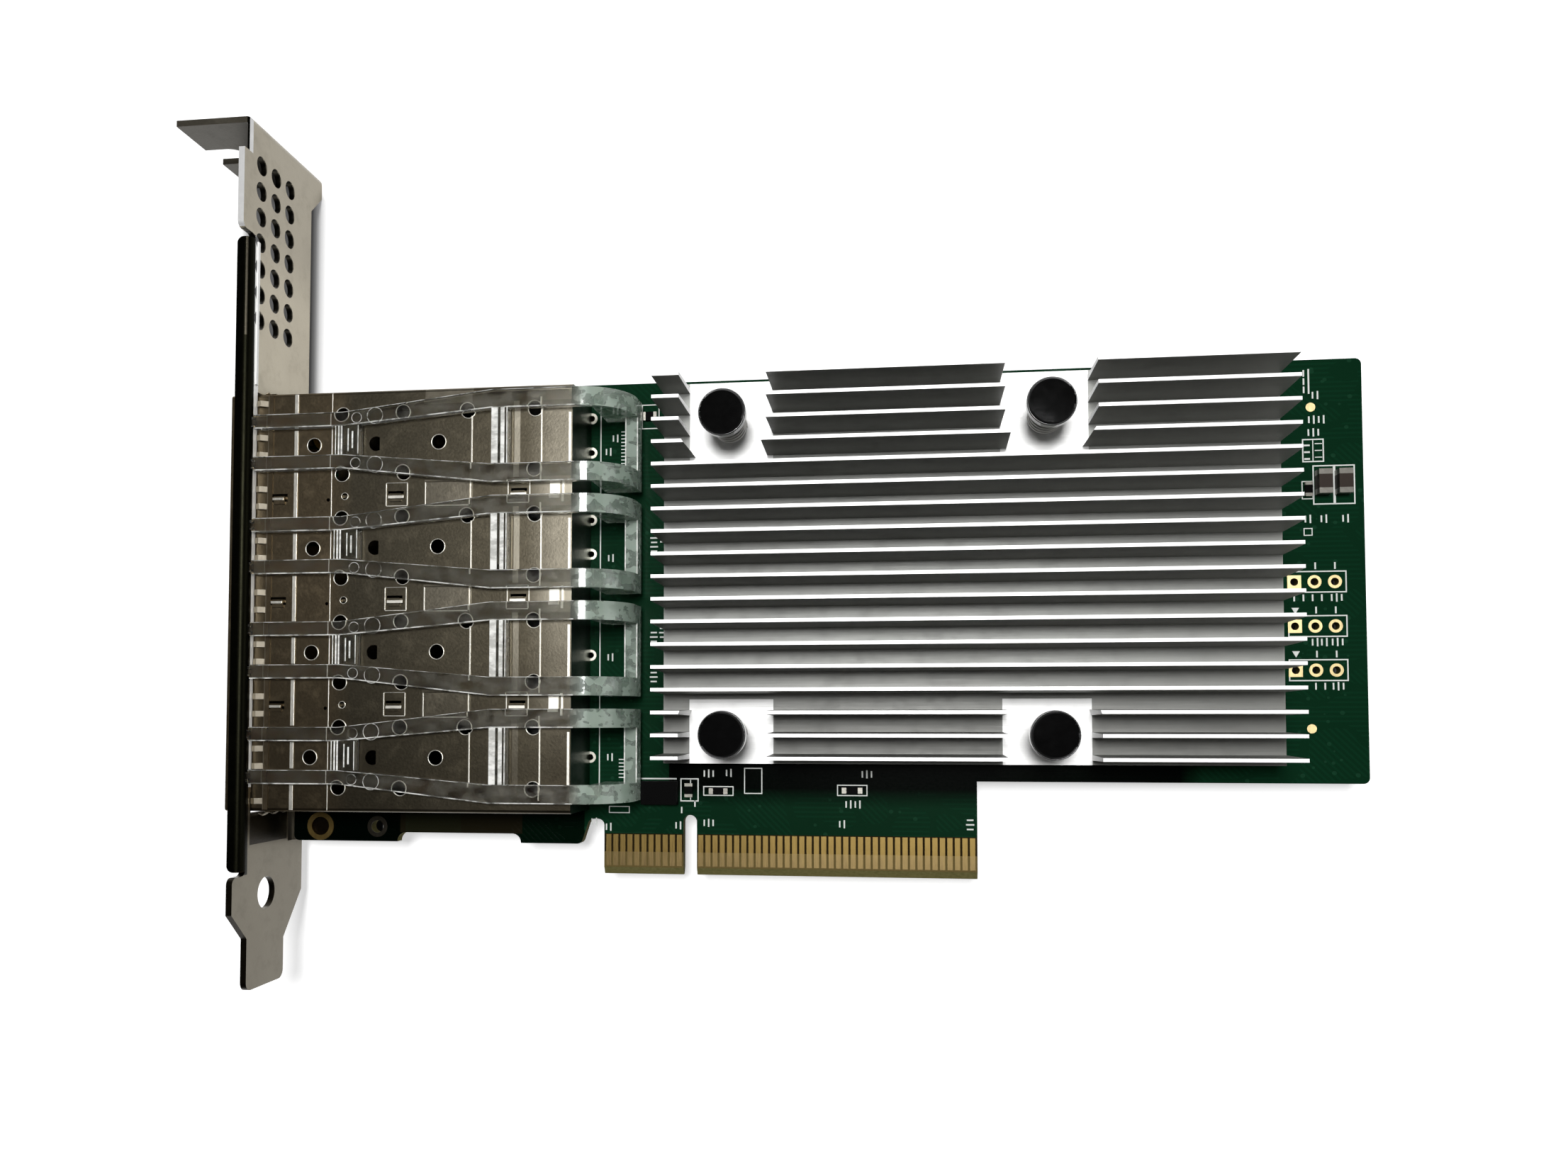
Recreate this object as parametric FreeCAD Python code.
"""Quad-port small-form-factor-pluggable network card, built as one assembly of separate pieces.

Frame (millimetres): X runs along the card, away from the mounting bracket, and is 0 at the centre
of the edge connector's key notch. Y runs up from the edge connector's lower edge. Z is 0 on the
board's component face and points away from it.
"""
import FreeCAD, Part
import math
import os

V = FreeCAD.Vector
diagonal = math.sqrt(0.5)
same_place = 0.01               # edges this near to a stated place are taken to be there
overcut = 1.0                    # how far a cutting shape runs past the material

# ---------------------------------------------------------------- driving dimensions: board
board_thickness = 1.57
board_height = 68.9
board_right = 89.25
board_shoulder_y = 13.1          # lower edge to the right of the edge connector
board_corner_y = 4.1             # lower edge between the bracket and the edge connector
board_corner_radius = 0.8
bracket_gap = 1.0                # bracket's inner face to the board's left edge
tongue_left = 12.15              # key notch centre to the connector's left edge
tongue_right = 39.15             # key notch centre to the connector's right edge
tongue_bevel = 0.5
slot_width = 3.3                 # slot between the corner foot and the connector tongue
slot_slant = 1.15                # its foot side leans in by this much
slot_top_y = 7.6
slot_radius = 0.9
notch_width = 1.9
notch_depth = 8.25
relief_left = 42.4               # shallow relief of the lower edge, measured left of the notch
relief_right = 24.2
relief_depth = 1.3
relief_radius = 1.25

# ---------------------------------------------------------------- edge contacts
contact_pitch = 1.0
contact_width = 0.7
contact_length = 4.3
contact_setback = 1.2            # bare board below each contact
contact_thickness = 0.05
contacts_before_key = 11
contacts_after_key = 38
key_contact_gap = 3.0            # centre to centre across the key notch

# ---------------------------------------------------------------- bracket
bracket_face_x = -59.0           # inner face of the plate
sheet = 0.86
bracket_bend = 1.1               # outside radius of every fold
bracket_top_y = 104.7
bracket_bottom_y = -15.3
bracket_near_z = 14.3            # component-side edge
bracket_width = 18.42
bracket_ear = 3.17               # extra width of the top on the solder side
flange_length = 11.43
flange_inset = 2.1               # component-side inset of the flange and its neck
neck_length = 5.3
ear_length = 3.25                # straight side of the ear, down from the top
screw_notch_width = 4.42
screw_notch_depth = 5.4
screw_notch_z = 3.0
lip_z = 12.2                     # outer face of the folded stiffening lip
lip_length = 2.1
lip_top_y = 87.9
lip_bottom_y = 0.9
lip_relief = 0.5
lip_corner = 0.9
tip_width = 9.7
tip_inset = 3.8                  # component-side inset of the tip
tip_shoulder_near_y = -4.5
tip_shoulder_far_y = -3.4
tip_chamfer_near = 3.7
tip_chamfer_far = 6.2
tip_corner = 1.2
tab_hole_radius = 2.25
tab_hole_y = -2.6
vent_radius = 1.3
vent_columns = 3
vent_rows = 7
vent_pitch_z = 3.85
vent_pitch_y = 3.63
vent_first_y = 76.85
vent_first_z = 2.2
foot_length = 8.6                # bracket feet below the board
foot_width = 4.4
foot_bend_overlap = 0.2          # how far the foot's fold runs up into the plate

# ---------------------------------------------------------------- feet fixings
foot_hole_setback = 5.1          # bracket's inner face to the feet's screws
insert_lower_y = 6.2
insert_upper_y = 62.6
insert_outer_radius = 1.85
insert_bore_radius = 1.3
insert_clearance = 0.05
insert_rim = 0.25                # brass rim that stands proud of the board
insert_rim_overhang = 0.15
insert_floor_clearance = 0.3     # hole in the cage floor round the covered insert
screw_radius = 1.25
screw_head_radius = 2.3
screw_head_height = 1.3
screw_hole_clearance = 0.15
screw_tip_recess = 0.3
drive_radius = 1.1
drive_width = 0.45
drive_depth = 0.7
tooling_hole_x = -45.4
tooling_hole_y = 6.2
tooling_hole_radius = 0.9
ring_height = 0.05
tooling_ring_radius = 1.5

# ---------------------------------------------------------------- port cage
port_count = 4
port_pitch = 14.25
first_port_y = 59.1              # port 1 is the uppermost
cage_sheet = 0.25
cage_height = 9.8
cage_margin = 0.25               # cover outside the outer ports' half pitch
nose_length = 3.9                # cage ahead of the bracket's inner face
cage_rear_x = -14.3
cage_bend = 0.5
floor_rear_x = -28.2
floor_gap = 0.05
divider_thickness = 0.36
cage_hole_radius = 0.96
cage_hole_spread = 4.1           # paired holes, each side of a port's centre line
cage_hole_columns_centre = (-50.7, -32.9)
cage_hole_columns_paired = (-46.6, -37.8, -19.4)
cage_hole_column_single = -28.75
gauge_hole_x = -46.2             # two small holes on each line between the ports
gauge_hole_radius = 0.42
gauge_dot_x = -48.6
gauge_dot_radius = 0.24
gauge_dot_offset = 0.45
latch_hole_x = -41.8
latch_hole_radius = 1.0
louvre_columns = (-55.6, -38.9, -21.6)
louvre_length = 2.2
louvre_width = 1.1
louvre_tab_gap = 0.3
louvre_lap = 0.35
rib_height = 0.25                # raised panels stand as high as the folded tabs
emboss_left = -34.7
emboss_right = -28.2
emboss_width = 3.5
cage_pin_width = 0.7
cage_pin_reach = 2.6             # below the board's component face
cage_pin_hole_radius = 0.52
cage_pin_columns = (-49.0, -34.0, -20.0)
latch_setback = 2.0              # nose to the start of the tongue's slots
latch_tongue_length = 9.0
latch_tongue_width = 3.6
latch_slot = 0.5
latch_window = 1.8
latch_window_x = 2.2
pin_slot_clearance = 0.06

# ---------------------------------------------------------------- grounding fingers
finger_strip_length = 0.75
finger_sheet = 0.12
finger_pitch = 2.375             # fitted so that a whole number stands on each port
finger_width = 0.78
finger_arm_clearance = 0.02
finger_rise = 0.55
finger_knee_share = 0.6          # of a finger's reach, where it bends back
finger_tip_share = 0.55          # of a finger's rise, left at its tip
finger_reach = 1.5
finger_setback = 0.1
finger_clearance = 0.03
finger_floor_gap = 0.6
window_clearance = 0.25

# ---------------------------------------------------------------- port connectors
connector_front_x = -27.6
connector_length = 9.6
connector_width = 12.0
connector_height = 5.9
connector_slot_width = 9.4
connector_slot_height = 1.3
connector_slot_depth = 5.2
connector_slot_z = 3.6
connector_step = 2.4
connector_step_share = 0.35      # of the height, under the stepped nose
connector_rear_share = 0.6       # of the height, left at the rear notch
connector_rear_inset = 1.0
connector_edge_radius = 0.4
connector_contact_count = 10
connector_contact_pitch = 0.8
connector_contact_width = 0.32
connector_contact_sheet = 0.2
tail_length = 1.2

# ---------------------------------------------------------------- light pipes
pipe_height = 1.2
pipe_seat = 0.05                 # clearance over the raised panels and tabs of the roof
pipe_front_width = 1.9
pipe_rear_width = 2.5
pipe_offset = 0.3                # the moulding's centre line above the port's
pipe_front_spread = 2.9          # arm centre from the moulding's centre line, at the bracket
pipe_rear_spread = 5.0           # the same at the back of the cage
pipe_bend_front_x = -46.0
pipe_bend_rear_x = -25.0
pipe_front_gap = 0.15            # arms stop this far short of the plate; only the tips go through
pipe_tip_radius = 0.5
pipe_tip_reach = 1.2             # tip past the plate's inner face
pipe_front_bar_length = 3.5
pipe_front_bar_lead = 1.1        # the bar starts this far ahead of the arms' bend
pipe_rear_bar_length = 2.3
pipe_drop_x = -13.4              # where the arms start to turn down to the lamps
pipe_leg_x = -11.6               # front face of the upright legs
pipe_rear_x = -6.7
pipe_foot_z = 1.5
pipe_heel_z = 4.2                # where the curved back of a leg becomes upright
pipe_foot_bar_length = 1.8
pipe_foot_bar_height = 2.2
notch_side_clearance = 0.2

# ---------------------------------------------------------------- port lamps
lamp_length = 1.6
lamp_width = 0.8
lamp_height = 0.8

# ---------------------------------------------------------------- heat sink
sink_left = -3.0
sink_right = 77.8
sink_fin_count = 18
sink_fin_pitch = 2.94
sink_first_fin_y = 16.5
sink_fin_tip = 0.45
sink_fin_root = 0.75
sink_base_margin = 0.6
sink_base_thickness = 1.5
sink_height = 12.6               # fin tops above the board
sink_pocket_width = 11.4
sink_pocket_inner = 4.65         # pocket's end beyond the pin, towards the middle
sink_pocket_radius = 2.6
sink_pin_hole_radius = 1.75

# ---------------------------------------------------------------- controller
chip_size = 25.0
chip_height = 1.1
chip_substrate = 1.0
chip_standoff = 0.1
chip_cap_step = 1.0              # substrate left bare round the moulded cap
thermal_pad_thickness = 0.2
ball_count = 13
ball_inset = 1.0
ball_radius = 0.25

# ---------------------------------------------------------------- push pins
pin_left_x = 6.3
pin_span_x = 41.7
pin_lower_y = 19.5
pin_span_y = 41.7
pin_head_radius = 3.1
pin_head_thickness = 1.5
pin_head_top = 13.0
pin_dome = 0.35
pin_collar_radius = 2.3
pin_collar_height = 1.3
pin_shaft_radius = 1.45
pin_hole_clearance = 0.1
pin_barb_radius = 1.85
pin_barb_height = 2.4
pin_tip_radius = 0.8
pin_barb_gap = 0.05
pin_slot = 0.5
pin_slot_top = 0.8               # slot's reach above the barb's shoulder
spring_wire = 0.5
spring_radius = 2.35

# ---------------------------------------------------------------- service pads and small parts
header_x = 80.33
header_pitch = 2.54
header_rows = (39.47, 33.65, 27.88)
header_columns = 3
header_hole_radius = 0.5
pad_ring_radius = 0.87
peg_hole_radius = 0.42
peg_ring_radius = 0.78
marker_radius = 0.6
marker_places = ((82.8, 62.56), (82.2, 20.23))
peg_ring_x = -14.2
peg_ring_rows = (64.1, 59.2, 49.6, 44.8, 30.5, 16.2)
part_lift = 0.02                 # solder under each chip part
terminal_share = 0.22            # metal end caps, as a share of the part's length
small_height = 0.6
bulk_x = 85.25
bulk_y = 52.45
bulk_pitch = 2.5
bulk_length = 3.2
bulk_width = 1.7
bulk_height = 1.8
decoupling_count = 7
decoupling_pitch = 3.2
decoupling_gap = 2.4
decoupling_length = 1.6
decoupling_width = 0.8
back_columns = 6
back_rows = 6
back_pitch = 2.6
# x, y, length, width, lies along Y
margin_parts = ((82.25, 51.65, 1.9, 0.9, True), (-5.8, 64.1, 2.0, 1.2, False),
                (-0.15, 11.7, 1.9, 1.1, True), (4.0, 11.6, 2.6, 0.8, False),
                (22.4, 11.8, 2.8, 0.8, False))
package_standoff = 0.1
lead_sheet = 0.15
lead_width = 0.4
lead_bend = 0.35
lead_slope = 0.25
lead_reach = 1.0
memory_x = 58.0
memory_y = 40.0
memory_length = 4.9
memory_width = 3.9
memory_height = 1.5
memory_lead_count = 4            # on each long side
inductor_size = 4.0
inductor_height = 1.8
inductor_foot = 0.8
inductor_columns = (60.0, 66.0, 72.0)
inductor_y = 52.0
crystal_x = 8.0
crystal_y = 40.0
crystal_length = 3.2
crystal_width = 2.5
crystal_height = 0.8
module_x = -4.15
module_y = 11.35
module_length = 5.0
module_width = 3.2
module_height = 1.6


# ================================================================ values worked out from the above
board_left = bracket_face_x + bracket_gap
bracket_far_z = bracket_near_z - bracket_width
plate_outer_x = bracket_face_x - sheet
foot_top_z = -board_thickness
cage_lower_y = first_port_y - (port_count - 0.5) * port_pitch - cage_margin
cage_upper_y = first_port_y + 0.5 * port_pitch + cage_margin
nose_x = bracket_face_x - nose_length
window_top_z = cage_height + window_clearance
sink_base_bottom = chip_standoff + chip_substrate + chip_height + thermal_pad_thickness
sink_base_top = sink_base_bottom + sink_base_thickness
pin_right_x = pin_left_x + pin_span_x
pin_upper_y = pin_lower_y + pin_span_y
chip_x = (pin_left_x + pin_right_x) / 2
chip_y = (pin_lower_y + pin_upper_y) / 2
pipe_z = cage_height + max(rib_height, cage_sheet) + pipe_seat
port_centres = [first_port_y - i * port_pitch for i in range(port_count)]
divider_centres = [first_port_y - (i + 0.5) * port_pitch for i in range(port_count - 1)]
pin_places = [(x, y) for x in (pin_left_x, pin_right_x) for y in (pin_lower_y, pin_upper_y)]
insert_x = bracket_face_x + foot_hole_setback
insert_places = [(insert_x, insert_lower_y), (insert_x, insert_upper_y)]


# ================================================================ small helpers
def box(x0, x1, y0, y1, z0, z1):
    return Part.makeBox(x1 - x0, y1 - y0, z1 - z0, V(x0, y0, z0))


def rod(radius, length, base, direction=V(0, 0, 1)):
    return Part.makeCylinder(radius, length, base, direction)


def ring(outer, inner, height, base):
    return rod(outer, height, base).cut(rod(inner, height, base))


def prism(points, direction):
    """Solid swept from a closed outline of straight sides."""
    return Part.Face(Part.makePolygon(points + points[:1])).extrude(direction)


def join(shapes):
    shapes = list(shapes)
    if len(shapes) == 1:
        return shapes[0]
    return shapes[0].multiFuse(shapes[1:]).removeSplitter()


def cut_all(shape, tools):
    tools = list(tools)
    return shape.cut(Part.makeCompound(tools)) if tools else shape


def rounded(shape, radius, chosen):
    """Fillet the edges that the test function picks."""
    edges = [edge for edge in shape.Edges if chosen(edge)]
    return shape.makeFillet(radius, edges) if edges else shape


def along(edge, axis):
    """True for a straight edge that runs along the named axis."""
    if not isinstance(edge.Curve, (Part.Line, Part.LineSegment)):
        return False
    start, end = edge.Vertexes[0].Point, edge.Vertexes[-1].Point
    step = end.sub(start)
    others = [abs(getattr(step, name)) for name in "xyz" if name != axis]
    return max(others) < 1e-6


def save(name, shapes):
    shapes = list(shapes) if isinstance(shapes, (list, tuple)) else [shapes]
    solids = [solid for shape in shapes for solid in shape.Solids]
    whole = solids[0] if len(solids) == 1 else Part.makeCompound(solids)
    whole.exportStep("parts/" + name + ".step")


# ================================================================ circuit board
def cage_pin_places():
    rows = [cage_lower_y + cage_sheet / 2] + divider_centres + [cage_upper_y - cage_sheet / 2]
    return [(x, y) for x in cage_pin_columns for y in rows]


def header_places():
    return [(header_x + i * header_pitch, y) for y in header_rows for i in range(header_columns)]


def peg_places():
    return [(peg_ring_x, y) for y in peg_ring_rows]


def corner_test(corners, axis="z"):
    """Picks the edges along an axis that stand on the given (x, y) corners."""
    def test(edge):
        point = edge.Vertexes[0].Point
        near = any(math.hypot(point.x - x, point.y - y) < same_place for x, y in corners)
        return near and along(edge, axis)
    return test


def board_blank():
    """Board outline with corner foot, slot and connector tongue."""
    slot_left = -tongue_left - slot_width
    slot_corner = (slot_left + slot_slant, slot_top_y)
    outer = [(board_left, board_height), (board_left, board_corner_y), (slot_left, board_corner_y),
             (board_right, board_shoulder_y), (board_right, board_height)]
    outline = [(board_left, board_corner_y), (slot_left, board_corner_y), slot_corner,
               (-tongue_left, slot_top_y), (-tongue_left, 0), (tongue_right, 0),
               (tongue_right, board_shoulder_y), (board_right, board_shoulder_y),
               (board_right, board_height), (board_left, board_height)]
    blank = prism([V(x, y, -board_thickness) for x, y in outline], V(0, 0, board_thickness))
    blank = rounded(blank, board_corner_radius, corner_test(outer))
    return rounded(blank, slot_radius, corner_test([slot_corner, (-tongue_left, slot_top_y)]))


def tongue_bevels():
    """Wedges cut from both faces along the tongue's lower edge."""
    length = tongue_left + tongue_right + 2 * overcut
    x = -tongue_left - overcut
    rise = 2 * tongue_bevel
    wedges = []
    for face, inward in ((0, -tongue_bevel), (-board_thickness, tongue_bevel)):
        wedges.append(prism([V(x, 0, face + inward), V(x, rise, face), V(x, rise, face - inward),
                             V(x, -overcut, face - inward), V(x, -overcut, face + inward)], V(length, 0, 0)))
    return wedges


def edge_relief():
    """Shallow recess in the lower edge, with rounded ends."""
    top = board_corner_y + relief_depth
    block = box(-relief_left, -relief_right, board_corner_y - overcut, top, -board_thickness, 0)
    return rounded(block, relief_radius, corner_test([(-relief_left, top), (-relief_right, top)]))


def key_notch():
    radius = notch_width / 2
    slot = box(-radius, radius, -overcut, notch_depth - radius, -board_thickness, 0)
    return slot.fuse(rod(radius, board_thickness, V(0, notch_depth - radius, -board_thickness)))


def circuit_board():
    back = V(0, 0, -board_thickness)
    holes = [key_notch(), edge_relief()] + tongue_bevels()
    round_holes = [(x, y, insert_outer_radius + insert_clearance) for x, y in insert_places]
    round_holes += [(tooling_hole_x, tooling_hole_y, tooling_hole_radius)]
    round_holes += [(x, y, pin_shaft_radius + pin_hole_clearance) for x, y in pin_places]
    round_holes += [(x, y, cage_pin_hole_radius) for x, y in cage_pin_places()]
    round_holes += [(x, y, header_hole_radius) for x, y in header_places()]
    round_holes += [(x, y, peg_hole_radius) for x, y in peg_places()]
    holes += [rod(r, board_thickness, back + V(x, y, 0)) for x, y, r in round_holes]
    return cut_all(board_blank(), holes)


def contact_centres():
    key_side = key_contact_gap / 2
    before = [-key_side - i * contact_pitch for i in range(contacts_before_key)]
    after = [key_side + i * contact_pitch for i in range(contacts_after_key)]
    return before + after


def edge_contacts(z):
    return [box(x - contact_width / 2, x + contact_width / 2, contact_setback,
                contact_setback + contact_length, z, z + contact_thickness)
            for x in contact_centres()]


def pad_rings(places, outer, inner):
    return [ring(outer, inner, ring_height, V(x, y, 0)) for x, y in places]


def header_pads():
    """Three rows of pads. The first of each row is square, which marks pin 1."""
    pads = []
    for x, y in header_places():
        if abs(x - header_x) < same_place:
            half = pad_ring_radius
            pad = box(x - half, x + half, y - half, y + half, 0, ring_height)
            pads.append(pad.cut(rod(header_hole_radius, ring_height, V(x, y, 0))))
        else:
            pads += pad_rings([(x, y)], pad_ring_radius, header_hole_radius)
    return pads


# ================================================================ mounting bracket
def plate_outline():
    """Flat silhouette of plate, neck, ear, lip relief and tip, in the YZ plane."""
    near, far = bracket_near_z, bracket_far_z
    neck = near - flange_inset
    fold = lip_z - bracket_bend
    neck_y = bracket_top_y - neck_length
    ear_far = far - bracket_ear
    tip_near = near - tip_inset
    tip_far = tip_near - tip_width
    ring_points = [(bracket_top_y, neck), (neck_y, neck), (neck_y, near),
                   (lip_top_y + lip_relief, near), (lip_top_y + lip_relief, fold),
                   (lip_bottom_y - lip_relief, fold), (lip_bottom_y - lip_relief, near),
                   (tip_shoulder_near_y, near), (tip_shoulder_near_y - tip_chamfer_near, tip_near),
                   (bracket_bottom_y, tip_near), (bracket_bottom_y, tip_far),
                   (tip_shoulder_far_y - tip_chamfer_far, tip_far), (tip_shoulder_far_y, far),
                   (bracket_top_y - ear_length - bracket_ear, far),
                   (bracket_top_y - ear_length, ear_far),
                   (bracket_top_y, ear_far)]
    x0 = bracket_face_x - flange_length
    body = prism([V(x0, y, z) for y, z in ring_points], V(flange_length, 0, 0))
    corner_y = [lip_top_y + lip_relief, lip_bottom_y - lip_relief]

    def is_relief(edge):
        point = edge.Vertexes[0].Point
        at_fold = abs(point.z - fold) < same_place or abs(point.z - near) < same_place
        return along(edge, "x") and at_fold and min(abs(point.y - y) for y in corner_y) < same_place

    def is_tip(edge):
        point = edge.Vertexes[0].Point
        return along(edge, "x") and abs(point.y - bracket_bottom_y) < same_place

    return rounded(rounded(body, tip_corner, is_tip), lip_corner, is_relief)


def folded_profile(z0, z1):
    """Plate and top flange as one folded sheet: an L with a round fold, swept along Z."""
    outer, inner = bracket_bend, bracket_bend - sheet
    cx, cy = bracket_face_x - outer, bracket_top_y - outer
    left = bracket_face_x - flange_length
    low = bracket_bottom_y
    at = lambda x, y: V(x, y, z0)
    edges = [Part.makeLine(at(bracket_face_x, low), at(bracket_face_x, cy)),
             Part.Arc(at(bracket_face_x, cy), at(cx + outer * diagonal, cy + outer * diagonal),
                      at(cx, bracket_top_y)).toShape(),
             Part.makeLine(at(cx, bracket_top_y), at(left, bracket_top_y)),
             Part.makeLine(at(left, bracket_top_y), at(left, bracket_top_y - sheet)),
             Part.makeLine(at(left, bracket_top_y - sheet), at(cx, bracket_top_y - sheet)),
             Part.Arc(at(cx, bracket_top_y - sheet), at(cx + inner * diagonal, cy + inner * diagonal),
                      at(plate_outer_x, cy)).toShape(),
             Part.makeLine(at(plate_outer_x, cy), at(plate_outer_x, low)),
             Part.makeLine(at(plate_outer_x, low), at(bracket_face_x, low))]
    return Part.Face(Part.Wire(edges)).extrude(V(0, 0, z1 - z0))


def bracket_lip():
    """Stiffening lip, folded outwards along the component-side edge."""
    outer, inner = bracket_bend, bracket_bend - sheet
    cx, cz = bracket_face_x - outer, lip_z - outer
    end = bracket_face_x - lip_length
    at = lambda x, z: V(x, lip_bottom_y, z)
    edges = [Part.Arc(at(bracket_face_x, cz), at(cx + outer * diagonal, cz + outer * diagonal),
                      at(cx, lip_z)).toShape(),
             Part.makeLine(at(cx, lip_z), at(end, lip_z)),
             Part.makeLine(at(end, lip_z), at(end, lip_z - sheet)),
             Part.makeLine(at(end, lip_z - sheet), at(cx, lip_z - sheet)),
             Part.Arc(at(cx, lip_z - sheet), at(cx + inner * diagonal, cz + inner * diagonal),
                      at(plate_outer_x, cz)).toShape(),
             Part.makeLine(at(plate_outer_x, cz), at(bracket_face_x, cz))]
    lip = Part.Face(Part.Wire(edges)).extrude(V(0, lip_top_y - lip_bottom_y, 0))
    return rounded(lip, lip_corner, lambda edge: along(edge, "z")
                   and abs(edge.Vertexes[0].Point.x - end) < same_place)


def bracket_foot(y):
    """Foot folded under the board, drilled for its screw."""
    outer = bracket_bend
    cx, cz = plate_outer_x + outer, foot_top_z - outer
    inner = outer - sheet
    end = bracket_face_x + foot_length
    low = cz - foot_bend_overlap
    y0 = y - foot_width / 2
    at = lambda x, z: V(x, y0, z)
    edges = [Part.makeLine(at(plate_outer_x, low), at(plate_outer_x, cz)),
             Part.Arc(at(plate_outer_x, cz), at(cx - outer * diagonal, cz + outer * diagonal),
                      at(cx, foot_top_z)).toShape(),
             Part.makeLine(at(cx, foot_top_z), at(end, foot_top_z)),
             Part.makeLine(at(end, foot_top_z), at(end, foot_top_z - sheet)),
             Part.makeLine(at(end, foot_top_z - sheet), at(cx, foot_top_z - sheet)),
             Part.Arc(at(cx, foot_top_z - sheet), at(cx - inner * diagonal, cz + inner * diagonal),
                      at(bracket_face_x, cz)).toShape(),
             Part.makeLine(at(bracket_face_x, cz), at(bracket_face_x, low)),
             Part.makeLine(at(bracket_face_x, low), at(plate_outer_x, low))]
    foot = Part.Face(Part.Wire(edges)).extrude(V(0, foot_width, 0))
    foot = rounded(foot, lip_corner, lambda edge: along(edge, "z")
                   and abs(edge.Vertexes[0].Point.x - end) < same_place)
    hole = rod(screw_radius + screw_hole_clearance, 2 * sheet, V(insert_x, y, foot_top_z - 1.5 * sheet))
    return foot.cut(hole)


def port_window():
    """Opening for the cage, with a notch for each light pipe tip and a gap over each foot."""
    side = window_clearance
    x0 = plate_outer_x - overcut
    x1 = bracket_face_x + overcut
    tools = [box(x0, x1, cage_lower_y - side, cage_upper_y + side, -side, window_top_z)]
    half = pipe_tip_radius + notch_side_clearance
    for y in port_centres:
        for sign in (-1, 1):
            mid = y + pipe_offset + sign * pipe_front_spread
            top = pipe_z + pipe_height / 2 + half
            tools.append(box(x0, x1, mid - half, mid + half, 0, top))
    for x, y in insert_places:
        tools.append(box(x0, x1, y - foot_width / 2, y + foot_width / 2, foot_top_z, 0))
    return join(tools)


def vent_holes():
    direction = V(1, 0, 0)
    x0 = plate_outer_x - overcut
    places = [(vent_first_y + i * vent_pitch_y, vent_first_z + j * vent_pitch_z)
              for i in range(vent_rows) for j in range(vent_columns)]
    return [rod(vent_radius, sheet + 2 * overcut, V(x0, y, z), direction) for y, z in places]


def screw_notch():
    radius = screw_notch_width / 2
    left = bracket_face_x - flange_length
    centre_x = left + screw_notch_depth - radius
    y0 = bracket_top_y - 2 * sheet
    slot = box(left - overcut, centre_x, y0, bracket_top_y + overcut, screw_notch_z - radius,
               screw_notch_z + radius)
    return slot.fuse(rod(radius, 3 * sheet, V(centre_x, y0, screw_notch_z), V(0, 1, 0)))


def tab_hole_z():
    return bracket_near_z - tip_inset - tip_width / 2


def mounting_bracket():
    far = bracket_far_z - bracket_ear
    sheet_metal = folded_profile(far, bracket_near_z).common(plate_outline())
    sheet_metal = join([sheet_metal, bracket_lip()])
    holes = [screw_notch(), port_window()] + vent_holes()
    holes.append(rod(tab_hole_radius, 3 * sheet, V(plate_outer_x - sheet, tab_hole_y, tab_hole_z()),
                     V(1, 0, 0)))
    sheet_metal = cut_all(sheet_metal, holes)
    return join([sheet_metal] + [bracket_foot(y) for x, y in insert_places])


# ================================================================ bracket fixings
def board_insert(x, y):
    """Swaged brass nut: body in the board, thin rim on the component face."""
    body = ring(insert_outer_radius, insert_bore_radius, board_thickness, V(x, y, -board_thickness))
    rim = ring(insert_outer_radius + insert_rim_overhang, insert_bore_radius, insert_rim, V(x, y, 0))
    return join([body, rim])


def bracket_screw(x, y):
    """Pan-head screw driven from the solder side."""
    seat = foot_top_z - sheet
    length = -screw_tip_recess - seat
    shank = rod(screw_radius, length, V(x, y, seat))
    head = rod(screw_head_radius, screw_head_height, V(x, y, seat - screw_head_height))
    head = rounded(head, screw_head_height / 3, lambda edge: edge.Vertexes[0].Point.z
                   < seat - screw_head_height / 2)
    low = seat - screw_head_height
    recess = [box(x - drive_radius, x + drive_radius, y - drive_width / 2, y + drive_width / 2,
                  low, low + drive_depth),
              box(x - drive_width / 2, x + drive_width / 2, y - drive_radius, y + drive_radius,
                  low, low + drive_depth)]
    return cut_all(join([shank, head]), recess)


# ================================================================ port cage
def cage_shell():
    """Folded cover: roof, two side walls and a back wall, open at the nose and below."""
    outside = box(nose_x, cage_rear_x, cage_lower_y, cage_upper_y, 0, cage_height)
    outside = rounded(outside, cage_bend, lambda edge: along(edge, "x")
                      and edge.Vertexes[0].Point.z > cage_height - same_place)
    inside = box(nose_x - overcut, cage_rear_x - cage_sheet, cage_lower_y + cage_sheet,
                 cage_upper_y - cage_sheet, -overcut, cage_height - cage_sheet)
    inside = rounded(inside, cage_bend - cage_sheet, lambda edge: along(edge, "x")
                     and edge.Vertexes[0].Point.z > cage_height - cage_sheet - same_place)
    return outside.cut(inside)


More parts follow.
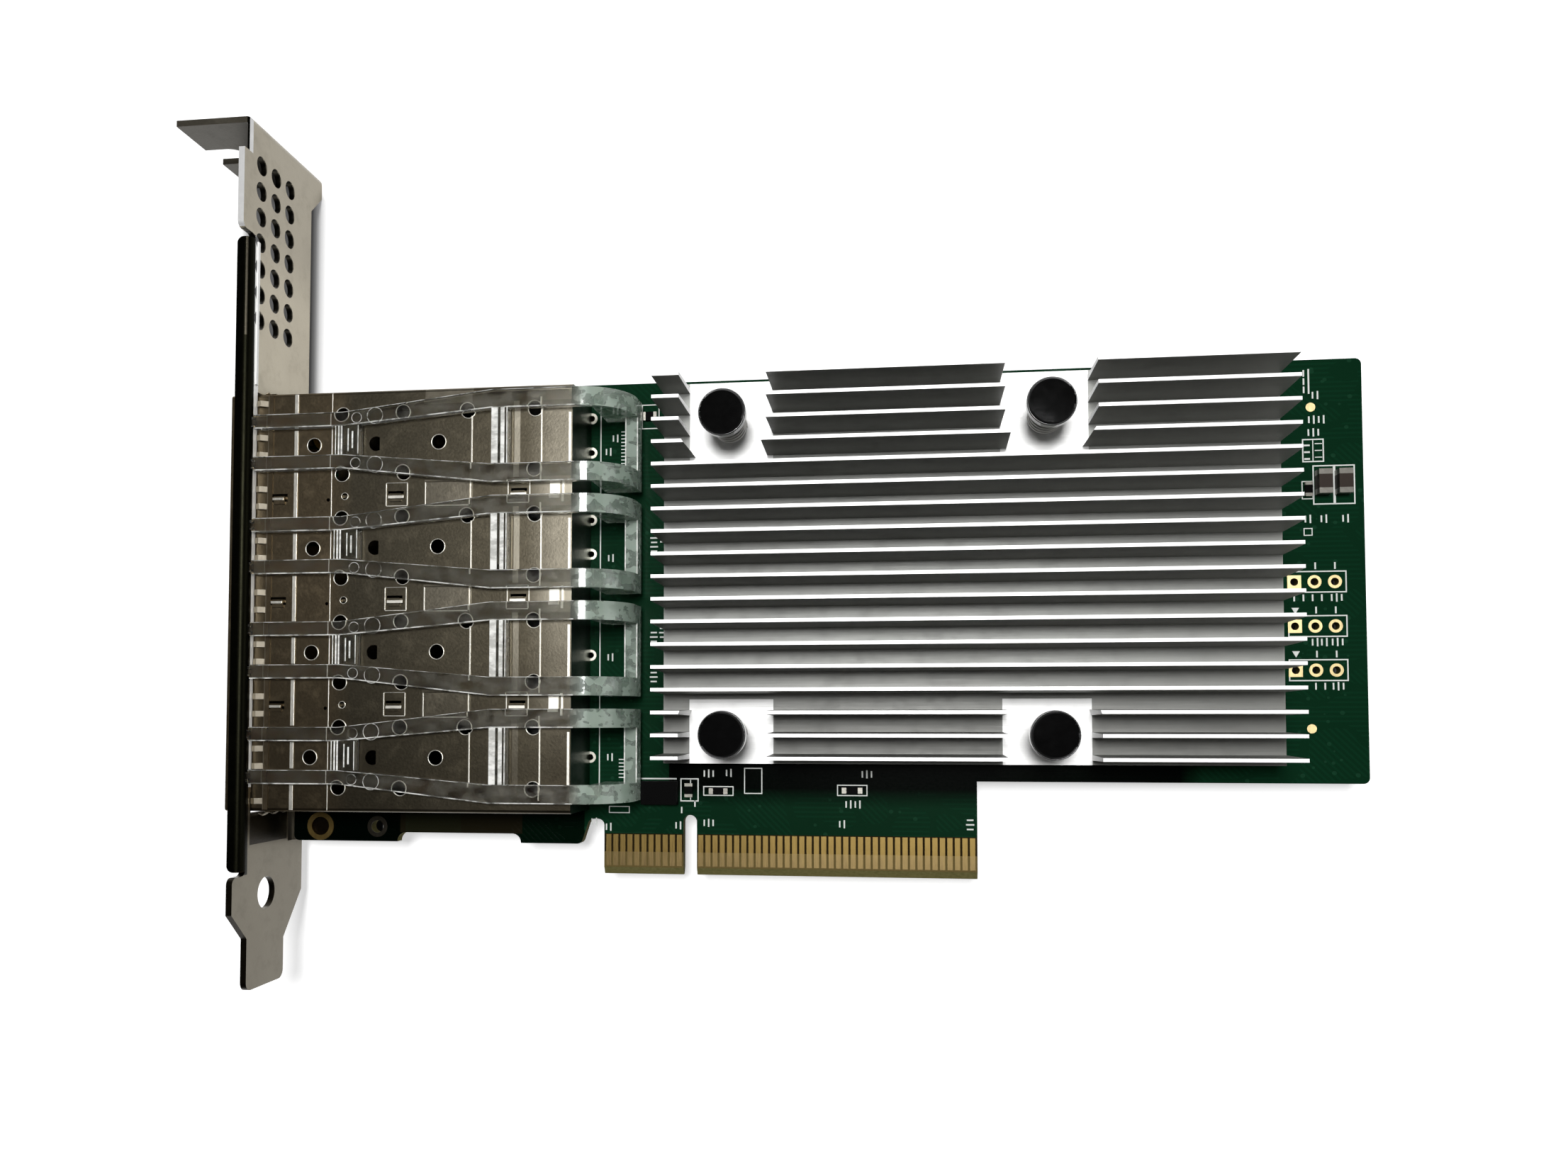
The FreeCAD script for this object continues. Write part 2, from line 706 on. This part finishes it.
def roof_holes():
    down = cage_height - 2 * cage_sheet
    tools = []
    for y in port_centres:
        upper, lower = y + cage_hole_spread, y - cage_hole_spread
        places = [(x, y) for x in cage_hole_columns_centre]
        places += [(x, row) for x in cage_hole_columns_paired for row in (upper, lower)]
        places.append((cage_hole_column_single, upper))
        tools += [rod(cage_hole_radius, 3 * cage_sheet, V(x, row, down)) for x, row in places]
        # latch relief: a round hole with one flat side
        latch = rod(latch_hole_radius, 3 * cage_sheet, V(latch_hole_x, y, down))
        flat = box(latch_hole_x + latch_hole_radius / 2, latch_hole_x + 2 * latch_hole_radius,
                   y - latch_hole_radius, y + latch_hole_radius, down, down + 3 * cage_sheet)
        tools.append(latch.cut(flat))
    for y in divider_centres:
        tools.append(rod(gauge_hole_radius, 3 * cage_sheet, V(gauge_hole_x, y, down)))
        tools.append(rod(gauge_dot_radius, 3 * cage_sheet, V(gauge_dot_x, y - gauge_dot_offset, down)))
    return tools


def louvre_windows():
    down = cage_height - 2 * cage_sheet
    return [box(x - louvre_length / 2, x + louvre_length / 2, y - louvre_width / 2,
                y + louvre_width / 2, down, down + 3 * cage_sheet)
            for x in louvre_columns for y in divider_centres]


def roof_embosses():
    """Shallow raised panels between the ports."""
    panels = []
    for y in divider_centres:
        panel = box(emboss_left, emboss_right, y - emboss_width / 2, y + emboss_width / 2,
                    cage_height, cage_height + rib_height)
        panels.append(rounded(panel, rib_height * 0.8, lambda edge: edge.Vertexes[0].Point.z
                              > cage_height + rib_height - same_place and edge.Vertexes[-1].Point.z
                              > cage_height + rib_height - same_place))
    return panels


def cage_cover():
    cover = cut_all(cage_shell(), roof_holes() + louvre_windows())
    below = box(nose_x - overcut, cage_rear_x + overcut, cage_lower_y - overcut, cage_upper_y + overcut,
                -overcut, floor_gap)
    cover = cover.cut(below)
    pins = []
    for x, y in cage_pin_places():
        if abs(y - cage_lower_y) < cage_sheet or abs(y - cage_upper_y) < cage_sheet:
            pins.append(box(x - cage_pin_width / 2, x + cage_pin_width / 2, y - cage_sheet / 2,
                            y + cage_sheet / 2, -cage_pin_reach, floor_gap))
    return join([cover] + roof_embosses() + pins)


def cage_floor():
    """Sheet under the front of the ports, with the latch tongue slotted out of each port."""
    top = floor_gap + cage_sheet
    inset = cage_sheet
    plate = box(nose_x, floor_rear_x, cage_lower_y + inset, cage_upper_y - inset, floor_gap, top)
    tools = []
    for y in port_centres:
        start = nose_x + latch_setback
        end = start + latch_tongue_length
        half = latch_tongue_width / 2
        for side in (y - half - latch_slot, y + half):
            tools.append(box(start, end, side, side + latch_slot, -overcut, overcut))
        tools.append(box(start + latch_window_x, start + latch_window_x + latch_window, y - latch_window / 2,
                         y + latch_window / 2, -overcut, overcut))
    for x in cage_pin_columns:
        for y in divider_centres:
            half = divider_thickness / 2 + pin_slot_clearance
            reach = cage_pin_width / 2 + pin_slot_clearance
            tools.append(box(x - reach, x + reach, y - half, y + half, -overcut, overcut))
    for x, y in insert_places:
        tools.append(rod(insert_outer_radius + insert_rim_overhang + insert_floor_clearance, 2 * overcut,
                         V(x, y, -overcut)))
    return cut_all(plate, tools)


def cage_divider(y):
    """Wall between two ports, with pins into the board and tabs folded over the roof."""
    floor_top = floor_gap + cage_sheet
    under_roof = cage_height - cage_sheet
    half = divider_thickness / 2
    rear = cage_rear_x - cage_sheet
    pieces = [box(nose_x, rear, y - half, y + half, floor_top, under_roof),
              box(floor_rear_x, rear, y - half, y + half, floor_gap, floor_top)]
    for x in louvre_columns:
        x0, x1 = x - louvre_length / 2 + louvre_tab_gap, x + louvre_length / 2 - louvre_tab_gap
        roof = cage_height + cage_sheet
        pieces.append(box(x0, x1, y - half, y + half, under_roof, roof))
        pieces.append(box(x0, x1, y - louvre_width / 2 - louvre_lap, y + half, cage_height, roof))
    for x in cage_pin_columns:
        pieces.append(box(x - cage_pin_width / 2, x + cage_pin_width / 2, y - half, y + half,
                          -cage_pin_reach, floor_top))
    return join(pieces)


# ================================================================ grounding fingers
def finger_strip(length, count, blocked=()):
    """Strip of sprung fingers in its own frame: the strip lies along X, its fingers point to -Y
    and bow up in +Z. The strip's near corner is the origin. No finger stands within the blocked
    stretches of its length."""
    strip = box(0, length, 0, finger_strip_length, 0, finger_sheet)
    pitch = length / count
    reach = finger_reach
    knee = reach * finger_knee_share
    tip_rise = finger_rise * finger_tip_share
    pieces = [strip]
    for i in range(count):
        x0 = i * pitch + (pitch - finger_width) / 2
        if any(low < x0 + finger_width and x0 < high for low, high in blocked):
            continue
        blade = prism([V(x0, 0, 0), V(x0, -knee, finger_rise), V(x0, -reach, tip_rise),
                       V(x0, -reach, tip_rise + finger_sheet),
                       V(x0, -knee, finger_rise + finger_sheet), V(x0, 0, finger_sheet)],
                      V(finger_width, 0, 0))
        pieces.append(blade)
    return join(pieces)


def place_strip(strip, x_axis, y_axis, origin):
    """Set a strip down with its X and Y axes along the given directions."""
    z_axis = x_axis.cross(y_axis)
    matrix = FreeCAD.Matrix(x_axis.x, y_axis.x, z_axis.x, origin.x,
                            x_axis.y, y_axis.y, z_axis.y, origin.y,
                            x_axis.z, y_axis.z, z_axis.z, origin.z, 0, 0, 0, 1)
    return strip.transformed(matrix)


def ground_fingers():
    """Four finger strips round the cage, just inside the bracket."""
    x0 = bracket_face_x + finger_reach + finger_setback
    lift = finger_clearance
    wide = port_count * port_pitch
    tall = cage_height - 2 * cage_bend - finger_floor_gap
    high_y = cage_upper_y - cage_margin
    arm_half = pipe_front_width / 2 + finger_arm_clearance
    arms = [high_y - (y + pipe_offset + sign * pipe_front_spread) for y in port_centres
            for sign in (-1, 1)]
    count = port_count * round(port_pitch / finger_pitch)
    roof = finger_strip(wide, count, [(a - arm_half, a + arm_half) for a in arms])
    side = finger_strip(tall, round(tall / finger_pitch))
    side_z = cage_bend + finger_floor_gap
    return [place_strip(roof, V(0, -1, 0), V(1, 0, 0), V(x0, high_y, cage_height + lift)),
            place_strip(side, V(0, 0, 1), V(1, 0, 0), V(x0, cage_upper_y + lift, side_z)),
            place_strip(side, V(0, 0, -1), V(1, 0, 0), V(x0, cage_lower_y - lift, side_z + tall))]


# ================================================================ port connectors
def connector_body(y):
    """Moulded socket with a stepped nose and a slot for the module's edge card."""
    half = connector_width / 2
    x0, x1 = connector_front_x, connector_front_x + connector_length
    body = box(x0, x1, y - half, y + half, 0, connector_height)
    low = connector_height * connector_step_share
    step = box(x0 - overcut, x0 + connector_step, y - half - overcut, y + half + overcut, -overcut, low)
    slot_half = connector_slot_width / 2
    z0 = connector_slot_z - connector_slot_height / 2
    slot = box(x0 - overcut, x0 + connector_slot_depth, y - slot_half, y + slot_half, z0,
               z0 + connector_slot_height)
    rear = box(x1 - connector_step / 2, x1 + overcut, y - half + connector_rear_inset,
               y + half - connector_rear_inset, connector_height * connector_rear_share,
               connector_height + overcut)
    body = cut_all(body, [step, slot, rear])
    return rounded(body, connector_edge_radius, lambda edge: along(edge, "x")
                   and edge.Vertexes[0].Point.z > connector_height - same_place
                   and abs(abs(edge.Vertexes[0].Point.y - y) - half) < same_place)


def connector_contacts(y):
    """Solder tails in a row behind the socket."""
    x1 = connector_front_x + connector_length
    first = y - (connector_contact_count - 1) * connector_contact_pitch / 2
    half = connector_contact_width / 2
    tails = []
    for i in range(connector_contact_count):
        mid = first + i * connector_contact_pitch
        tails.append(box(x1, x1 + tail_length, mid - half, mid + half, part_lift,
                         part_lift + connector_contact_sheet))
    return tails


# ================================================================ light pipes
def arm_run(y, sign):
    """Flat stretch over the cage: straight, out on a slant while it widens, then straight."""
    middle = y + pipe_offset
    front, rear = middle + sign * pipe_front_spread, middle + sign * pipe_rear_spread
    half_front, half_rear = pipe_front_width / 2, pipe_rear_width / 2
    start = bracket_face_x + pipe_front_gap
    stations = [(start, front, half_front), (pipe_bend_front_x, front, half_front),
                (pipe_bend_rear_x, rear, half_rear), (pipe_drop_x, rear, half_rear)]
    upper = [V(x, mid + half, pipe_z) for x, mid, half in stations]
    lower = [V(x, mid - half, pipe_z) for x, mid, half in reversed(stations)]
    return prism(upper + lower, V(0, 0, pipe_height))


def arm_leg(y, sign):
    """Upright leg behind the cage, with a curved back that turns the light downwards."""
    y0 = y + pipe_offset + sign * pipe_rear_spread - pipe_rear_width / 2
    top = pipe_z + pipe_height
    at = lambda x, z: V(x, y0, z)
    run, rise = pipe_rear_x - pipe_drop_x, top - pipe_heel_z
    knee = at(pipe_drop_x + run * diagonal, pipe_heel_z + rise * diagonal)
    edges = [Part.Arc(at(pipe_drop_x, top), knee, at(pipe_rear_x, pipe_heel_z)).toShape(),
             Part.makeLine(at(pipe_rear_x, pipe_heel_z), at(pipe_rear_x, pipe_foot_z)),
             Part.makeLine(at(pipe_rear_x, pipe_foot_z), at(pipe_leg_x, pipe_foot_z)),
             Part.makeLine(at(pipe_leg_x, pipe_foot_z), at(pipe_leg_x, pipe_z)),
             Part.makeLine(at(pipe_leg_x, pipe_z), at(pipe_drop_x, pipe_z)),
             Part.makeLine(at(pipe_drop_x, pipe_z), at(pipe_drop_x, top))]
    return Part.Face(Part.Wire(edges)).extrude(V(0, pipe_rear_width, 0))


def arm_tip(y, sign):
    front = y + pipe_offset + sign * pipe_front_spread
    return rod(pipe_tip_radius, pipe_tip_reach + pipe_front_gap,
               V(bracket_face_x - pipe_tip_reach, front, pipe_z + pipe_height / 2), V(1, 0, 0))


def light_pipe(y):
    """Two arms joined by three cross bars, moulded as one clear piece."""
    top = pipe_z + pipe_height
    middle = y + pipe_offset
    front_x, rear_x = pipe_bend_front_x - pipe_front_bar_lead, pipe_bend_rear_x
    pieces = [box(front_x, front_x + pipe_front_bar_length, middle - pipe_front_spread,
                  middle + pipe_front_spread, pipe_z, top),
              box(rear_x, rear_x + pipe_rear_bar_length, middle - pipe_rear_spread,
                  middle + pipe_rear_spread, pipe_z, top)]
    foot_half = pipe_rear_spread + pipe_rear_width / 2
    pieces.append(box(pipe_rear_x - pipe_foot_bar_length, pipe_rear_x, middle - foot_half,
                      middle + foot_half, pipe_foot_z, pipe_foot_z + pipe_foot_bar_height))
    for sign in (-1, 1):
        pieces += [arm_run(y, sign), arm_leg(y, sign), arm_tip(y, sign)]
    return join(pieces)


def port_lamps():
    """Two surface-mounted lamps, one under each leg of every light pipe."""
    lamps = []
    lamp_x = (pipe_leg_x + pipe_rear_x) / 2
    for y in port_centres:
        for sign in (-1, 1):
            mid = y + pipe_offset + sign * pipe_rear_spread
            lamps.append(box(lamp_x - lamp_width / 2, lamp_x + lamp_width / 2,
                             mid - lamp_length / 2, mid + lamp_length / 2, part_lift,
                             part_lift + lamp_height))
    return lamps


# ================================================================ heat sink
def fin_rows():
    return [sink_first_fin_y + i * sink_fin_pitch for i in range(sink_fin_count)]


def heat_sink_profile():
    """Extruded section: a base plate with tapered fins, in the YZ plane."""
    rows = fin_rows()
    x = sink_left
    tip, root = sink_fin_tip / 2, sink_fin_root / 2
    low_y, high_y = rows[0] - root - sink_base_margin, rows[-1] + root + sink_base_margin
    points = [V(x, low_y, sink_base_bottom), V(x, low_y, sink_base_top)]
    for y in rows:
        points += [V(x, y - root, sink_base_top), V(x, y - tip, sink_height),
                   V(x, y + tip, sink_height), V(x, y + root, sink_base_top)]
    points += [V(x, high_y, sink_base_top), V(x, high_y, sink_base_bottom)]
    return points


def sink_pocket(x, y):
    """Clearing in the fins round a push pin, open to the nearest long side."""
    upper = y > chip_y
    reach = sink_pocket_inner
    far = 3 * sink_fin_pitch
    y0, y1 = (y - reach, y + far) if upper else (y - far, y + reach)
    half = sink_pocket_width / 2
    pocket = box(x - half, x + half, y0, y1, sink_base_top, sink_height + overcut)
    end = y0 if upper else y1
    return rounded(pocket, sink_pocket_radius, lambda edge: along(edge, "z")
                   and abs(edge.Vertexes[0].Point.y - end) < same_place)


def heat_sink():
    block = prism(heat_sink_profile(), V(sink_right - sink_left, 0, 0))
    tools = [sink_pocket(x, y) for x, y in pin_places]
    tools += [rod(sink_pin_hole_radius, 2 * sink_base_thickness,
                  V(x, y, sink_base_bottom - sink_base_thickness / 2)) for x, y in pin_places]
    return cut_all(block, tools)


# ================================================================ controller
def on_chip(size, z0, height):
    """Square slab over the controller's centre."""
    half = size / 2
    return box(chip_x - half, chip_x + half, chip_y - half, chip_y + half, z0, z0 + height)


def controller_chip():
    """Substrate with a moulded cap."""
    substrate = on_chip(chip_size, chip_standoff, chip_substrate)
    cap = on_chip(chip_size - 2 * chip_cap_step, chip_standoff + chip_substrate, chip_height)
    return join([substrate, cap])


def solder_balls():
    """Outermost ring of solder balls, as short posts between chip and board."""
    count = ball_count
    pitch = (chip_size - 2 * ball_inset) / (count - 1)
    start_x, start_y = chip_x - chip_size / 2 + ball_inset, chip_y - chip_size / 2 + ball_inset
    places = []
    for i in range(count):
        for j in range(count):
            if i in (0, count - 1) or j in (0, count - 1):
                places.append((start_x + i * pitch, start_y + j * pitch))
    return [box(x - ball_radius, x + ball_radius, y - ball_radius, y + ball_radius, 0, chip_standoff)
            for x, y in places]


def thermal_pad():
    return on_chip(chip_size - 2 * chip_cap_step, chip_standoff + chip_substrate + chip_height,
                  thermal_pad_thickness)


# ================================================================ push pins
def push_pin(x, y):
    """Moulded push pin turned about its axis: domed head, collar, shaft and split barb."""
    top = pin_head_top
    under = top - pin_head_thickness
    barb = -board_thickness - pin_barb_gap
    axis = V(x, y, 0)
    at = lambda r, z: V(x + r, y, z)
    rim = top - pin_dome
    points = [at(0, barb - pin_barb_height), at(pin_tip_radius, barb - pin_barb_height),
              at(pin_barb_radius, barb), at(pin_shaft_radius, barb),
              at(pin_shaft_radius, under - pin_collar_height),
              at(pin_collar_radius, under - pin_collar_height), at(pin_collar_radius, under),
              at(pin_head_radius, under), at(pin_head_radius, rim),
              at(pin_head_radius - pin_dome, top), at(0, top)]
    pin = Part.Face(Part.makePolygon(points + points[:1])).revolve(axis, V(0, 0, 1), 360)
    slot = box(x - pin_slot / 2, x + pin_slot / 2, y - pin_barb_radius - overcut,
               y + pin_barb_radius + overcut,
               barb - pin_barb_height - overcut, barb + pin_slot_top)
    return pin.cut(slot)


def pin_spring(x, y):
    """Compression spring as its closed outer envelope, between base plate and head."""
    z0 = sink_base_top
    z1 = pin_head_top - pin_head_thickness - pin_collar_height
    return ring(spring_radius, spring_radius - spring_wire, z1 - z0, V(x, y, z0))


# ================================================================ small parts on the board
def chip_part(x, y, length, width, height, upright, face=1):
    """Body and two end caps of a chip part; upright parts lie along Y."""
    cap = length * terminal_share
    z = part_lift if face > 0 else -board_thickness - part_lift - height
    def block(a0, a1, half):
        if upright:
            return box(x - half, x + half, y + a0, y + a1, z, z + height)
        return box(x + a0, x + a1, y - half, y + half, z, z + height)
    body = block(-length / 2 + cap, length / 2 - cap, width / 2)
    caps = [block(-length / 2, -length / 2 + cap, width / 2),
            block(length / 2 - cap, length / 2, width / 2)]
    return body, caps


def large_capacitors():
    """Two large ceramic capacitors near the far end of the board."""
    return [chip_part(bulk_x + side * bulk_pitch / 2, bulk_y, bulk_length, bulk_width, bulk_height, True)
            for side in (-1, 1)]


def edge_row_parts():
    """Chip parts in the margins that the heat sink leaves free."""
    return [chip_part(x, y, length, width, small_height, upright)
            for x, y, length, width, upright in margin_parts]


def decoupling_parts():
    """Capacitors round the controller, under the heat sink."""
    offset = chip_size / 2 + decoupling_gap
    parts = []
    for i in range(decoupling_count):
        slide = (i - (decoupling_count - 1) / 2) * decoupling_pitch
        for side in (-1, 1):
            parts.append(chip_part(chip_x + slide, chip_y + side * offset, decoupling_length,
                                   decoupling_width, small_height, True))
            parts.append(chip_part(chip_x + side * offset, chip_y + slide, decoupling_length,
                                   decoupling_width, small_height, False))
    return parts


def solder_side_parts():
    """Block of capacitors on the solder side, behind the controller."""
    parts = []
    for i in range(back_columns):
        for j in range(back_rows):
            x = chip_x + (i - (back_columns - 1) / 2) * back_pitch
            y = chip_y + (j - (back_rows - 1) / 2) * back_pitch
            parts.append(chip_part(x, y, decoupling_length, decoupling_width, small_height, j % 2 == 0,
                                   face=-1))
    return parts


def bodies(parts):
    return [body for body, caps in parts]


def terminals(parts):
    return [cap for body, caps in parts for cap in caps]


def small_package(x, y, length, width, height, lead_count):
    """Moulded package with gull-wing leads along both long sides."""
    body = box(x - length / 2, x + length / 2, y - width / 2, y + width / 2, package_standoff,
               package_standoff + height)
    leads = []
    pitch = length / lead_count
    knee = package_standoff + height / 2
    for i in range(lead_count):
        x0 = x - length / 2 + (i + 0.5) * pitch - lead_width / 2
        for side in (-1, 1):
            y0 = y + side * width / 2
            at = lambda out, z: V(x0, y0 + side * out, z)
            foot = part_lift + lead_sheet
            leads.append(prism([at(0, knee), at(lead_bend, knee), at(lead_bend + lead_slope, foot),
                                at(lead_reach, foot), at(lead_reach, part_lift),
                                at(lead_bend + lead_slope - lead_sheet, part_lift),
                                at(lead_bend - lead_sheet / 2, knee - lead_sheet),
                                at(0, knee - lead_sheet)], V(lead_width, 0, 0)))
    return body, leads


def power_inductor(x, y):
    """Moulded power inductor with terminals under two ends."""
    half = inductor_size / 2
    body = box(x - half, x + half, y - half, y + half, part_lift + lead_sheet, inductor_height)
    feet = [box(x + side * half - (inductor_foot if side > 0 else 0),
                x + side * half + (0 if side > 0 else inductor_foot), y - half / 2, y + half / 2,
                part_lift, part_lift + lead_sheet) for side in (-1, 1)]
    return body, feet


# ================================================================ assembly
def build():
    os.makedirs("parts", exist_ok=True)

    save("circuit_board", circuit_board())
    save("edge_contacts_component_side", edge_contacts(0))
    save("edge_contacts_solder_side", edge_contacts(-board_thickness - contact_thickness))
    save("header_pads", header_pads())
    save("light_pipe_pads", pad_rings(peg_places(), peg_ring_radius, peg_hole_radius))
    save("tooling_hole_ring", pad_rings([(tooling_hole_x, tooling_hole_y)], tooling_ring_radius,
                                        tooling_hole_radius))
    save("alignment_marks", [rod(marker_radius, ring_height, V(x, y, 0)) for x, y in marker_places])

    save("mounting_bracket", mounting_bracket())
    save("bracket_screws", [bracket_screw(x, y) for x, y in insert_places])
    save("board_inserts", [board_insert(x, y) for x, y in insert_places])

    save("cage_cover", cage_cover())
    save("cage_floor", cage_floor())
    for i, y in enumerate(divider_centres):
        save("cage_divider_%d" % (i + 1), cage_divider(y))
    save("cage_ground_fingers", ground_fingers())

    for i, y in enumerate(port_centres):
        save("port_connector_%d" % (i + 1), connector_body(y))
        save("connector_contacts_%d" % (i + 1), connector_contacts(y))
        save("light_pipe_%d" % (i + 1), light_pipe(y))
    save("port_lamps", port_lamps())

    save("heat_sink", heat_sink())
    save("thermal_pad", thermal_pad())
    save("controller_chip", controller_chip())
    save("controller_solder_balls", solder_balls())
    save("push_pins", [push_pin(x, y) for x, y in pin_places])
    save("push_pin_springs", [pin_spring(x, y) for x, y in pin_places])

    bulk = large_capacitors()
    save("large_capacitors", bodies(bulk))
    margin = edge_row_parts()
    save("margin_chip_parts", bodies(margin))
    decoupling = decoupling_parts()
    save("decoupling_capacitors", bodies(decoupling))
    save("component_side_terminals", terminals(bulk + margin + decoupling))
    back = solder_side_parts()
    save("solder_side_capacitors", bodies(back))
    save("solder_side_terminals", terminals(back))

    memory_body, memory_leads = small_package(memory_x, memory_y, memory_length, memory_width,
                                              memory_height, memory_lead_count)
    save("memory_chip", memory_body)
    save("memory_chip_leads", memory_leads)
    coils = [power_inductor(x, inductor_y) for x in inductor_columns]
    save("power_inductors", [body for body, feet in coils])
    save("power_inductor_feet", [foot for body, feet in coils for foot in feet])
    save("crystal", box(crystal_x - crystal_length / 2, crystal_x + crystal_length / 2,
                        crystal_y - crystal_width / 2, crystal_y + crystal_width / 2,
                        part_lift, part_lift + crystal_height))
    save("supply_module", box(module_x - module_length / 2, module_x + module_length / 2,
                              module_y - module_width / 2, module_y + module_width / 2,
                              part_lift, part_lift + module_height))


build()
